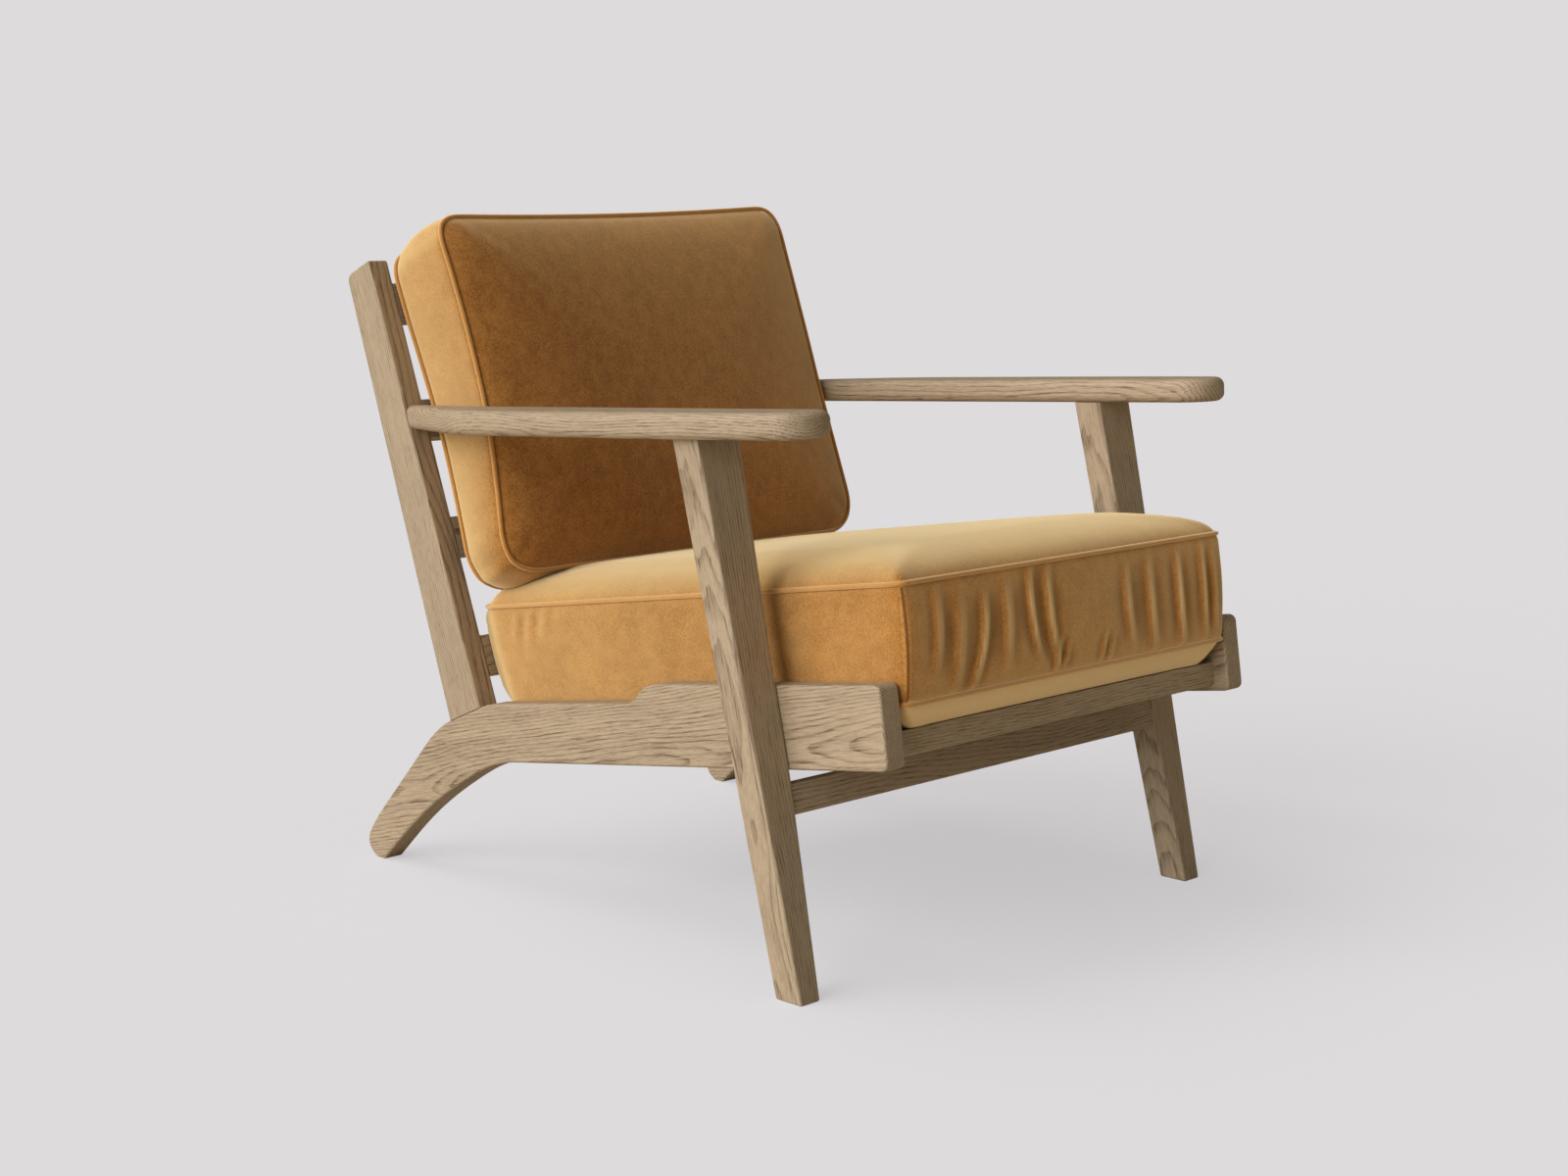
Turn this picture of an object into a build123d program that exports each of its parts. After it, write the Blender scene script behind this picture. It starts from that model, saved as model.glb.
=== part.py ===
from build123d import *

import os
from math import atan, cos, radians, sin, tan

# Millimetres. +Z is up, the chair faces -Y, and left is -X, as seen by someone in front of it.
# The origin is on the floor, at the middle of the width and of the depth.

# Side rails: flat boards that carry the seat and sweep down into the rear feet
RAIL_OUTER_X = 300.0
RAIL_THICK = 28.0
RAIL_INNER_X = RAIL_OUTER_X - RAIL_THICK
RAIL_TILT = 8.3                     # degrees, front up
RAIL_FRONT_Y = -440.0               # lower front corner
RAIL_FRONT_Z = 247.0
RAIL_FRONT_HIGH = 85.5              # height of the board's front end
RAIL_NOSE_RADIUS = 8.0
WOOD_EASE = 3.0                     # rounding of the long edges

# Front legs: raked back towards the top, widest under the arms
LEG_FRONT_Y = -360.0                # front face on the floor
LEG_DEPTH = 37.0
LEG_RAKE = 13.15                    # degrees
LEG_FOOT_X = (310.0, 338.0)
LEG_TOP_X = (294.5, 355.0)
LEG_SEAT_Z = (222.0, 332.0)         # flat of the inner face, against the rail
LEG_BEND_RADIUS = 600.0             # where that flat runs into the taper

# Armrests
ARM_THICK = 27.5
ARM_TILT = 3.0                      # degrees, front up
ARM_UNDER_Z = 549.5                 # underside at Y = 0
ARM_INNER_X = 291.5
ARM_TIP_RADIUS = 37.0
ARM_TIP_Y = -376.0
ARM_WIDEST_X = 376.0
ARM_EDGE = 9.5                      # rounding of the long edges

# Back posts and slats
POST_FOOT = ((201.5, 217.5), (258.0, 193.5))    # front and rear of the seat on the rail, Y and Z
POST_TOP = ((397.0, 728.0), (441.5, 708.0))     # front and rear of the top
SLAT_HIGH = 48.0
SLAT_THICK = 18.0
SLAT_TOP_Z = 678.5                  # middle of the highest slat's front face
SLAT_PITCH_Z = 135.0
SLAT_COUNT = 4

# Seat frame and deck
DECK_Z = 279.0                      # top of the deck at its front edge
DECK_FRONT_Y = -423.5
SEAT_RAIL_HIGH = 27.0
SEAT_RAIL_DEEP = 38.0
FRONT_SEAT_RAIL_Y = -417.0          # front face
REAR_SEAT_RAIL_Y = 150.0            # front face
DECK_SLAT_THICK = 15.0
DECK_SLAT_WIDE = 56.0
DECK_SLAT_COUNT = 6
DECK_SLAT_FIRST_Y = -338.0
DECK_SLAT_PITCH = 89.0
CLEAT_WIDE = 20.0
CLEAT_HIGH = 18.0
STRETCHER_HIGH = 32.5
STRETCHER_DEEP = 22.0
STRETCHER_LOW_Z = 183.0
STRETCHER_SET_BACK = 2.0

# Cushions: boxed foam in a sewn cover
SEAT_HALF_WIDE = 268.5
BACK_HALF_WIDE = 272.0
CORE_SCALE = 0.98                   # the foam core to the cushion, which leaves the cover and its wadding
SOFT_GAP = 0.6                      # clearance between soft and hard parts
SEAT_REAR_GAP = 2.0
SEAT_CORNER = 9.0                   # rounding of the sides
BACK_CORNER = 14.0
SEAT_FRONT_Y = -436.0               # lower front corner
SEAT_SEAM_TOP = (-425.5, 428.0)     # upper front corner, Y and Z

# Fixings
LEG_BOLT_Z = (256.0, 292.0)
BOLT_DIAMETER = 8.0
BOLT_HEAD_DIAMETER = 13.0
BOLT_HEAD_HIGH = 8.0
WASHER_THICK = 1.6
COUNTERBORE_DIAMETER = 17.0
INSERT_DIAMETER = 12.0
INSERT_LONG = 20.0
SCREW_DIAMETER = 4.0
SCREW_HEAD = 8.0
CLEAT_SCREW_Y = (-294.0, -116.0, 62.0)

RAIL_SLOPE = tan(radians(RAIL_TILT))
ARM_SLOPE = tan(radians(ARM_TILT))
LEG_SLOPE = tan(radians(LEG_RAKE))
BACK_SLOPE = (POST_TOP[0][0] - POST_FOOT[0][0]) / (POST_TOP[0][1] - POST_FOOT[0][1])
BACK_LEAN = atan(BACK_SLOPE)
LEG_CENTRE_X = sum(LEG_FOOT_X + LEG_TOP_X) / 4


def rail_under_z(y):
    """Height of the straight underside of the side rail."""
    return RAIL_FRONT_Z - RAIL_SLOPE * (y - RAIL_FRONT_Y)


def deck_z(y):
    """Height of the deck's top."""
    return DECK_Z - RAIL_SLOPE * (y - DECK_FRONT_Y)


def arm_under_z(y):
    return ARM_UNDER_Z - ARM_SLOPE * y


def leg_front_y(z):
    return LEG_FRONT_Y + LEG_SLOPE * z


def back_y(z):
    """Depth of the plane of the back: the front faces of the posts and slats."""
    return POST_FOOT[0][0] + BACK_SLOPE * (z - POST_FOOT[0][1])


def side_solid(edges, x_low, x_high):
    """A board drawn in (Y, Z) and stretched along X."""
    return extrude(Plane.YZ.offset(x_low) * make_face(edges), x_high - x_low)


def polygon(*points):
    return Polyline(*points, close=True).edges()


def ease_sides(board, radius):
    """Round the edges of the board's two broad sides."""
    sides = board.faces().sort_by(Axis.X)
    return fillet(sides[0].edges() + sides[-1].edges(), radius)


def frame_plane(y, z, tilt):
    """Plane through (0, y, z): its x is +X, its y leans back from up by tilt radians, z faces forwards."""
    return Plane(origin=(0, y, z), x_dir=(1, 0, 0), z_dir=(0, -cos(tilt), sin(tilt)))


def side_rail():
    """Right rail. It steps down under the cushion's side and bends into the rear foot."""
    tilt = radians(RAIL_TILT)
    low_front = (RAIL_FRONT_Y, RAIL_FRONT_Z)
    high_front = (RAIL_FRONT_Y + RAIL_FRONT_HIGH * sin(tilt), RAIL_FRONT_Z + RAIL_FRONT_HIGH * cos(tilt))
    step_top = (-111.0, 288.5)
    step_foot = (-55.0, 260.0)
    shelf_end = (172.0, 226.0)
    bend = (136.0, rail_under_z(136.0))
    toe_top = (424.0, 31.0)
    toe_low = (411.0, 0.0)
    heel = (396.0, 0.0)
    along_top = (step_top[0] - high_front[0], step_top[1] - high_front[1])
    along_shelf = (shelf_end[0] - step_foot[0], shelf_end[1] - step_foot[1])
    along_seat = (POST_FOOT[1][0] - POST_FOOT[0][0], POST_FOOT[1][1] - POST_FOOT[0][1])
    down_toe = (0.55, -0.83)
    edges = [
        Line(low_front, high_front),
        Line(high_front, step_top),
        Spline(step_top, (-79.0, 277.5), step_foot, tangents=[along_top, along_shelf]),
        Line(step_foot, shelf_end),
        Spline(shelf_end, POST_FOOT[0], tangents=[along_shelf, along_seat]),
        Line(POST_FOOT[0], POST_FOOT[1]),
        Spline(POST_FOOT[1], (323.0, 141.0), (389.0, 72.5), toe_top, tangents=[along_seat, down_toe]),
        Spline(toe_top, (427.5, 18.0), toe_low, tangents=[down_toe, (-1, -0.5)]),
        Line(toe_low, heel),
        Spline(heel, (315.0, 71.0), (228.0, 128.0), bend, tangents=[(-1, 0.92), (-1, RAIL_SLOPE)]),
        Line(bend, low_front),
    ]
    board = side_solid(edges, RAIL_INNER_X, RAIL_OUTER_X)
    ends = board.edges().filter_by(Axis.X)
    board = fillet(ends.sort_by(Axis.Y)[:2], RAIL_NOSE_RADIUS)
    floor_edges = board.edges().filter_by(Axis.X).sort_by(Axis.Z)[:2]
    return ease_sides(fillet(floor_edges, 4.0), WOOD_EASE)


def front_leg():
    """Right leg: a tapered front outline stretched along Y, cut to the raked side outline."""
    reach = arm_under_z(-220.0) + 20.0
    front = make_face(polygon(
        (LEG_FOOT_X[0], 0), (LEG_FOOT_X[1], 0), (LEG_TOP_X[1], reach), (LEG_TOP_X[0], reach),
        (RAIL_OUTER_X, LEG_SEAT_Z[1]), (RAIL_OUTER_X, LEG_SEAT_Z[0]),
    ))
    bends = [corner for corner in front.vertices() if corner.X == RAIL_OUTER_X]
    tapered = extrude(Plane.XZ * fillet(bends, LEG_BEND_RADIUS), 500)
    y_top = leg_front_y(arm_under_z(-229))
    raked = side_solid(
        polygon(
            (LEG_FRONT_Y, 0), (LEG_FRONT_Y + LEG_DEPTH, 0),
            (y_top + LEG_DEPTH, arm_under_z(y_top + LEG_DEPTH)), (y_top, arm_under_z(y_top)),
        ),
        0, 500,
    )
    leg = tapered & raked
    long_edges = leg.edges().filter_by(lambda edge: abs((edge % 0.5).Z) > 0.9)
    leg = fillet(long_edges, WOOD_EASE)
    return chamfer(leg.faces().sort_by(Axis.Z)[0].edges(), 1.5)


def armrest():
    """Right arm: a paddle, round at the front and narrowing at the rear to the post's front face."""
    tip_y = ARM_TIP_Y + ARM_TIP_RADIUS
    tip_x = ARM_INNER_X + ARM_TIP_RADIUS
    tip_outer = (ARM_INNER_X + 2 * ARM_TIP_RADIUS, tip_y)
    post_inner = (RAIL_INNER_X + 2.0, 345.0)
    edges = [
        ThreePointArc((ARM_INNER_X, tip_y), (tip_x, ARM_TIP_Y), tip_outer),
        Spline(
            tip_outer, (ARM_WIDEST_X - 1.0, -150.0), (ARM_WIDEST_X, 10.0), (371.0, 140.0),
            (346.0, 216.0), (RAIL_OUTER_X + 2.0, 320.0), (RAIL_OUTER_X - 8.0, 345.0),
            tangents=[(0.08, 1), (-0.4, 1)],
        ),
        Line((RAIL_OUTER_X - 8.0, 345.0), post_inner),
        Spline(post_inner, (ARM_INNER_X, 190.0), tangents=[(0, -1), (0, -1)]),
        Line((ARM_INNER_X, 190.0), (ARM_INNER_X, tip_y)),
    ]
    flat = extrude(make_face(edges), ARM_THICK)
    top_and_under = flat.faces().sort_by(Axis.Z)
    flat = fillet(top_and_under[0].edges() + top_and_under[-1].edges(), ARM_EDGE)
    tilted = Pos(0, 0, ARM_UNDER_Z) * Rot(-ARM_TILT, 0, 0) * flat
    behind = side_solid(polygon((back_y(400), 400), (600, 400), (600, 700), (back_y(700), 700)), 200, 400)
    return tilted - behind


def back_post():
    """Right post, standing on the rail and leaning back."""
    foot_front, foot_rear = POST_FOOT
    top_front, top_rear = POST_TOP
    board = side_solid(polygon(foot_front, foot_rear, top_rear, top_front), RAIL_INNER_X, RAIL_OUTER_X)
    crown = board.edges().filter_by(Axis.X).sort_by(Axis.Z)
    board = fillet(crown[-2], 10.0)
    crown = board.edges().filter_by(Axis.X).sort_by(Axis.Z)
    board = fillet(crown[-1], WOOD_EASE)
    uprights = [
        edge for face in (board.faces().sort_by(Axis.X)[0], board.faces().sort_by(Axis.X)[-1])
        for edge in face.edges() if edge.center().Z > POST_FOOT[0][1] + 10
    ]
    return fillet(uprights, WOOD_EASE)


def back_slat(number):
    """One slat between the posts, its front face flush with theirs. Number 1 is the highest."""
    z = SLAT_TOP_Z - SLAT_PITCH_Z * (number - 1)
    plane = frame_plane(back_y(z), z, BACK_LEAN)
    slat = plane * Pos(0, 0, -SLAT_THICK / 2) * Box(2 * RAIL_INNER_X, SLAT_HIGH, SLAT_THICK)
    return fillet(slat.edges().filter_by(Axis.X), 2.5)


def cross_rail(front_y):
    """A cross member of the seat frame, its top flush with the deck's."""
    tilt = radians(RAIL_TILT)
    plane = Plane(origin=(0, front_y, deck_z(front_y)), x_dir=(1, 0, 0), z_dir=(0, sin(tilt), cos(tilt)))
    size = (2 * RAIL_INNER_X, SEAT_RAIL_DEEP, SEAT_RAIL_HIGH)
    bar = plane * Pos(0, SEAT_RAIL_DEEP / 2, -SEAT_RAIL_HIGH / 2) * Box(*size)
    low_front = bar.edges().filter_by(Axis.X).sort_by(lambda edge: edge.center().Y + edge.center().Z)[0]
    return chamfer(low_front, 4.0)


def deck_slat(number):
    """One cross slat of the deck. Number 1 is at the front."""
    tilt = radians(RAIL_TILT)
    y = DECK_SLAT_FIRST_Y + DECK_SLAT_PITCH * (number - 1)
    plane = Plane(origin=(0, y, deck_z(y)), x_dir=(1, 0, 0), z_dir=(0, sin(tilt), cos(tilt)))
    slat = plane * Pos(0, 0, -DECK_SLAT_THICK / 2) * Box(
        2 * RAIL_INNER_X - 2.0, DECK_SLAT_WIDE, DECK_SLAT_THICK
    )
    return fillet(slat.edges().filter_by(Axis.X), 2.0)


def seat_cleat():
    """Right bearer under the ends of the deck slats, along the rail's inner face."""
    first = FRONT_SEAT_RAIL_Y + SEAT_RAIL_DEEP + 3.0
    last = REAR_SEAT_RAIL_Y - 8.0
    drop = DECK_SLAT_THICK / cos(radians(RAIL_TILT))
    points = [
        (first, deck_z(first) - drop - CLEAT_HIGH), (last, deck_z(last) - drop - CLEAT_HIGH),
        (last, deck_z(last) - drop), (first, deck_z(first) - drop),
    ]
    return side_solid(polygon(*points), RAIL_INNER_X - CLEAT_WIDE, RAIL_INNER_X)


def front_stretcher(legs):
    """Bar between the front legs, raked with them and cut to their inner faces."""
    rake = radians(LEG_RAKE)
    front_y = leg_front_y(STRETCHER_LOW_Z) + STRETCHER_SET_BACK
    plane = frame_plane(front_y, STRETCHER_LOW_Z, rake)
    bar = plane * Pos(0, STRETCHER_HIGH / 2, -STRETCHER_DEEP / 2) * Box(
        2 * (RAIL_OUTER_X + 8.0), STRETCHER_HIGH, STRETCHER_DEEP
    )
    bar = chamfer(bar.edges().filter_by(Axis.X), 1.5)
    for leg in legs:
        bar -= leg
    return max(bar.solids(), key=lambda piece: piece.volume)


# Fasteners and dowels. Each group is one node of separate solids; the same solids cut their holes.


def peg(point, direction, diameter, length):
    """A round peg centred on a point, along a direction."""
    plane = Plane(origin=point, z_dir=direction)
    return plane * Cylinder(diameter / 2, length)


def both_sides(shapes):
    """The right-hand shapes with their mirror images on the left."""
    return shapes + [mirror(shape, about=Plane.YZ) for shape in shapes]


def leg_crossing(height):
    """Point on the rail's outer face, at a height, in the middle of the leg."""
    return (RAIL_OUTER_X, leg_front_y(height) + LEG_DEPTH / 2, height)


def leg_bolts():
    """Socket bolts put in from the rail's inner face, two to a leg, their heads in counterbores."""
    bolts = []
    for height in LEG_BOLT_Z:
        x, y, z = leg_crossing(height)
        shank_inner = RAIL_INNER_X + BOLT_HEAD_HIGH + WASHER_THICK
        shank_outer = x + INSERT_LONG - 2.0
        middle = (shank_inner + shank_outer) / 2
        shank = peg((middle, y, z), (1, 0, 0), BOLT_DIAMETER, shank_outer - shank_inner)
        head_middle = RAIL_INNER_X + BOLT_HEAD_HIGH / 2
        head = peg((head_middle, y, z), (1, 0, 0), BOLT_HEAD_DIAMETER, BOLT_HEAD_HIGH)
        neck = peg((shank_inner - WASHER_THICK / 2, y, z), (1, 0, 0), BOLT_DIAMETER, WASHER_THICK)
        socket = extrude(Plane(origin=(RAIL_INNER_X, y, z), z_dir=(1, 0, 0)) * RegularPolygon(2.9, 6), 3.0)
        bolts.append(shank + neck + head - socket)
    return both_sides(bolts)


def leg_washers():
    washers = []
    for height in LEG_BOLT_Z:
        x, y, z = leg_crossing(height)
        centre = (RAIL_INNER_X + BOLT_HEAD_HIGH + WASHER_THICK / 2, y, z)
        disc = peg(centre, (1, 0, 0), COUNTERBORE_DIAMETER, WASHER_THICK)
        washers.append(disc - peg(centre, (1, 0, 0), BOLT_DIAMETER, WASHER_THICK * 2))
    return both_sides(washers)


def leg_inserts():
    """Threaded inserts pressed into the legs' inner faces."""
    inserts = []
    for height in LEG_BOLT_Z:
        x, y, z = leg_crossing(height)
        body = peg((x + INSERT_LONG / 2, y, z), (1, 0, 0), INSERT_DIAMETER, INSERT_LONG)
        bore_long = INSERT_LONG - 2.0
        inserts.append(body - peg((x + bore_long / 2, y, z), (1, 0, 0), BOLT_DIAMETER, bore_long))
    return both_sides(inserts)


def counterbores():
    """The recesses that the bolts' heads and washers lie in."""
    deep = BOLT_HEAD_HIGH + WASHER_THICK
    recesses = []
    for height in LEG_BOLT_Z:
        x, y, z = leg_crossing(height)
        recesses.append(peg((RAIL_INNER_X + deep / 2, y, z), (1, 0, 0), COUNTERBORE_DIAMETER, deep))
    return both_sides(recesses)


def arm_leg_dowels():
    """Two upright dowels in the top of each leg."""
    tilt = radians(ARM_TILT)
    y = leg_front_y(arm_under_z(-210)) + LEG_DEPTH / 2
    dowels = [
        peg((LEG_CENTRE_X + side * 13.0, y, arm_under_z(y)), (0, sin(tilt), cos(tilt)), 10.0, 36.0)
        for side in (-1, 1)
    ]
    return both_sides(dowels)


def arm_post_dowels():
    """One dowel from each arm's rear end into the post."""
    z = arm_under_z(325) + ARM_THICK / 2
    x = (RAIL_INNER_X + RAIL_OUTER_X) / 2
    return both_sides([peg((x, back_y(z), z), (0, cos(BACK_LEAN), -sin(BACK_LEAN)), 10.0, 50.0)])


def post_rail_dowels():
    """Two dowels along each post, down into the rail."""
    (y_front, z_front), (y_rear, z_rear) = POST_FOOT
    x = (RAIL_INNER_X + RAIL_OUTER_X) / 2
    dowels = [
        peg(
            (x, y_front + share * (y_rear - y_front), z_front + share * (z_rear - z_front)),
            (0, sin(BACK_LEAN), cos(BACK_LEAN)), 10.0, 64.0,
        )
        for share in (0.27, 0.73)
    ]
    return both_sides(dowels)


def back_slat_dowels():
    """Two dowels at each end of each back slat."""
    dowels = []
    for number in range(SLAT_COUNT):
        z = SLAT_TOP_Z - SLAT_PITCH_Z * number
        plane = frame_plane(back_y(z), z, BACK_LEAN)
        for rise in (-12.0, 12.0):
            point = plane.from_local_coords(Vector(RAIL_INNER_X, rise, -SLAT_THICK / 2))
            dowels.append(peg(tuple(point), (1, 0, 0), 8.0, 36.0))
    return both_sides(dowels)


def stretcher_dowels():
    rake = radians(LEG_RAKE)
    plane = frame_plane(leg_front_y(STRETCHER_LOW_Z) + STRETCHER_SET_BACK, STRETCHER_LOW_Z, rake)
    dowels = []
    for share in (0.27, 0.73):
        point = plane.from_local_coords(Vector(RAIL_OUTER_X, share * STRETCHER_HIGH, -STRETCHER_DEEP / 2))
        dowels.append(peg(tuple(point), (1, 0, 0), 8.0, 40.0))
    return both_sides(dowels)


def seat_rail_dowels():
    """Two dowels at each end of the front and rear seat rails."""
    tilt = radians(RAIL_TILT)
    dowels = []
    for front_y in (FRONT_SEAT_RAIL_Y, REAR_SEAT_RAIL_Y):
        for back in (10.0, 28.0):
            y = front_y + back * cos(tilt) - SEAT_RAIL_HIGH / 2 * sin(tilt)
            z = deck_z(front_y) - back * sin(tilt) - SEAT_RAIL_HIGH / 2 * cos(tilt)
            dowels.append(peg((RAIL_INNER_X, y, z), (1, 0, 0), 10.0, 40.0))
    return both_sides(dowels)


def wood_screw(head_centre, direction, length):
    """A countersunk screw: its head's flat top is centred on a point, and it runs along a direction."""
    plane = Plane(origin=head_centre, z_dir=direction)
    head = plane * Pos(0, 0, SCREW_HEAD / 4) * Cone(SCREW_HEAD / 2, SCREW_DIAMETER / 2, SCREW_HEAD / 2)
    shank_long = length - SCREW_HEAD / 2
    shank = plane * Pos(0, 0, SCREW_HEAD / 2 + shank_long / 2) * Cylinder(SCREW_DIAMETER / 2, shank_long)
    return head + shank


def cleat_screws():
    """Three screws through each cleat into its rail."""
    drop = (DECK_SLAT_THICK + CLEAT_HIGH / 2) / cos(radians(RAIL_TILT))
    return both_sides([
        wood_screw((RAIL_INNER_X - CLEAT_WIDE, y, deck_z(y) - drop), (1, 0, 0), 38.0)
        for y in CLEAT_SCREW_Y
    ])


def deck_slat_screws():
    """One screw down through each end of each deck slat into the cleat."""
    tilt = radians(RAIL_TILT)
    down = (0, -sin(tilt), -cos(tilt))
    screws = []
    for number in range(DECK_SLAT_COUNT):
        y = DECK_SLAT_FIRST_Y + DECK_SLAT_PITCH * number
        screws.append(wood_screw((RAIL_INNER_X - CLEAT_WIDE / 2, y, deck_z(y)), down, 30.0))
    return both_sides(screws)


# Cushions: each is a filled outline in (Y, Z), stretched along X and rounded, with a foam core inside


def seat_cushion_outline():
    """Flat under, boxed front, crowned top, and a rear that follows the plane of the back."""
    front_low = (SEAT_FRONT_Y, deck_z(SEAT_FRONT_Y) + SOFT_GAP)
    rear_under = (180.0, deck_z(180.0) + SOFT_GAP)
    rear_low = (back_y(255.0) - SEAT_REAR_GAP, 255.0)
    rear_high = (back_y(295.0) - SEAT_REAR_GAP, 295.0)
    down_back = (-BACK_SLOPE, -1)
    face = make_face([
        Line(rear_under, front_low),
        Line(front_low, SEAT_SEAM_TOP),
        Spline(
            SEAT_SEAM_TOP, (-345.0, 446.0), (-100.0, 413.0), (150.0, 375.0), rear_high,
            tangents=[(1, 0.6), down_back],
        ),
        Line(rear_high, rear_low),
        Spline(rear_low, rear_under, tangents=[down_back, (-1, RAIL_SLOPE)]),
    ])
    front_corners = face.vertices().sort_by(Axis.X)[:2]
    return fillet(front_corners, 14.0)


def back_cushion_outline():
    """Rear face against the slats, a front that bellies out, and a bottom corner over the seat."""
    plane_low = (back_y(425.0) - SOFT_GAP, 425.0)
    plane_high = (back_y(715.0) - SOFT_GAP, 715.0)
    up_back = (BACK_SLOPE, 1)
    return make_face([
        Line(plane_low, plane_high),
        Spline(plane_high, (350.0, 774.0), (272.0, 752.0), tangents=[up_back, (-0.5, -1)]),
        Spline((272.0, 752.0), (188.0, 540.0), (140.0, 420.0), tangents=[(-0.5, -1), (-0.1, -1)]),
        Spline((140.0, 420.0), (195.0, 370.0), plane_low, tangents=[(-0.1, -1), up_back]),
    ])


def cushion_solids(face, half_wide, corner):
    """The sewn cover, hollow, and the foam core that fills it."""
    body = extrude(Plane.YZ.offset(-half_wide) * face, 2 * half_wide)
    body = ease_sides(body, corner)
    inner_half = half_wide * CORE_SCALE
    recentre = Pos(face.center() * (1 - CORE_SCALE))
    inner_face = recentre * scale(face, CORE_SCALE)
    core = extrude(Plane.YZ.offset(-inner_half) * inner_face, 2 * inner_half)
    core = ease_sides(core, corner * CORE_SCALE)
    return body - core, core


def write(name, shapes):
    """One STEP file to a node; a list becomes a group of separate solids."""
    group = Compound(children=list(shapes)) if isinstance(shapes, list) else shapes
    export_step(group, f"parts/{name}.step")


def cut(wood, names, tools):
    """Take a group of fasteners or recesses out of the named pieces."""
    for name in names:
        for tool in tools:
            wood[name] = wood[name] - tool


def build():
    os.makedirs("parts", exist_ok=True)
    wood = {}
    for name, right in (
        ("side_rail", side_rail()), ("front_leg", front_leg()), ("armrest", armrest()),
        ("back_post", back_post()), ("seat_cleat", seat_cleat()),
    ):
        wood[name + "_right"] = right
        wood[name + "_left"] = mirror(right, about=Plane.YZ)
    for number in range(1, SLAT_COUNT + 1):
        wood[f"back_slat_{number}"] = back_slat(number)
    for number in range(1, DECK_SLAT_COUNT + 1):
        wood[f"seat_slat_{number}"] = deck_slat(number)
    wood["front_seat_rail"] = cross_rail(FRONT_SEAT_RAIL_Y)
    wood["rear_seat_rail"] = cross_rail(REAR_SEAT_RAIL_Y)
    legs = ["front_leg_right", "front_leg_left"]
    wood["front_stretcher"] = front_stretcher([wood[leg] for leg in legs])

    rails = ["side_rail_right", "side_rail_left"]
    arms = ["armrest_right", "armrest_left"]
    posts = ["back_post_right", "back_post_left"]
    cleats = ["seat_cleat_right", "seat_cleat_left"]
    back_slats = [name for name in wood if name.startswith("back_slat")]
    seat_slats = [name for name in wood if name.startswith("seat_slat")]
    fixings = {
        "leg_bolts": (leg_bolts(), rails + legs),
        "leg_washers": (leg_washers(), []),
        "leg_inserts": (leg_inserts(), legs),
        "arm_leg_dowels": (arm_leg_dowels(), arms + legs),
        "arm_post_dowels": (arm_post_dowels(), arms + posts),
        "post_rail_dowels": (post_rail_dowels(), posts + rails),
        "back_slat_dowels": (back_slat_dowels(), posts + back_slats),
        "stretcher_dowels": (stretcher_dowels(), legs + ["front_stretcher"]),
        "seat_rail_dowels": (seat_rail_dowels(), rails + ["front_seat_rail", "rear_seat_rail"]),
        "cleat_screws": (cleat_screws(), cleats + rails),
        "seat_slat_screws": (deck_slat_screws(), seat_slats + cleats),
    }
    cut(wood, rails, counterbores())
    for name, (solids, holders) in fixings.items():
        cut(wood, holders, solids)
        write(name, solids)
    for name, piece in wood.items():
        write(name, piece)

    seat_cover, seat_core = cushion_solids(seat_cushion_outline(), SEAT_HALF_WIDE, SEAT_CORNER)
    back_cover, back_core = cushion_solids(back_cushion_outline(), BACK_HALF_WIDE, BACK_CORNER)
    write("seat_cushion_cover", seat_cover)
    write("seat_cushion_core", seat_core)
    write("back_cushion_cover", back_cover)
    write("back_cushion_core", back_core)


build()
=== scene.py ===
from math import atan, cos, pi, radians, sin, tan

import bpy
import numpy as np
from mathutils.bvhtree import BVHTree
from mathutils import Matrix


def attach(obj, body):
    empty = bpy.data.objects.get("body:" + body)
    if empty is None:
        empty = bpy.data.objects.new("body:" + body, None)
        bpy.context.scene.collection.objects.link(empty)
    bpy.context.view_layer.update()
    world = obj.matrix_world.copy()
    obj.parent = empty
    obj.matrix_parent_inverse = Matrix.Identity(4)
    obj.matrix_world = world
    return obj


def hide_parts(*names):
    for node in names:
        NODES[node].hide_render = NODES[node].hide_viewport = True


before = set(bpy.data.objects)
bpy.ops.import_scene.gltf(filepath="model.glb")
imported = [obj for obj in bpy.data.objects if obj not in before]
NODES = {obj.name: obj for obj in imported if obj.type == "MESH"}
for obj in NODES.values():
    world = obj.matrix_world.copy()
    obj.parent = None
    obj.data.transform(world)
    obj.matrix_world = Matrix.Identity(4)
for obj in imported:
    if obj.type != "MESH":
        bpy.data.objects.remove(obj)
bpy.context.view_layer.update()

# Metres, in the frame's own axes: +Z is up, the chair faces -Y, and left is -X, as seen by someone in front of it.

# Slopes of the frame, as depth or height gained per metre
SEAT_TILT = radians(8.3)
SEAT_SLOPE = tan(SEAT_TILT)
BACK_SLOPE = 0.38297
BACK_LEAN = atan(BACK_SLOPE)
LEG_RAKE = radians(13.15)
ARM_TILT = radians(3.0)
BACK_FOOT = (0.2015, 0.2175)            # Y and Z of the plane of the back, on the side rail
DECK_FRONT = (-0.4235, 0.2790)          # Y and Z of the deck's front edge
RAIL_INNER = 0.272                      # the side rails' and posts' inner faces
SOFT_GAP = 0.0006                       # clearance between soft and hard parts

PIPING_RADIUS = 0.0026
PIPING_PROUD = 0.0004                   # how far the cord's middle stands outside the seam
SEAM_DEPTH = 0.0016                     # how deep the cover sinks beside a seam, and how far from it
SEAM_REACH = 0.0048
CUSHION_GAP = 0.0008                    # between the back cushion and the seat cushion it stands on

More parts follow.
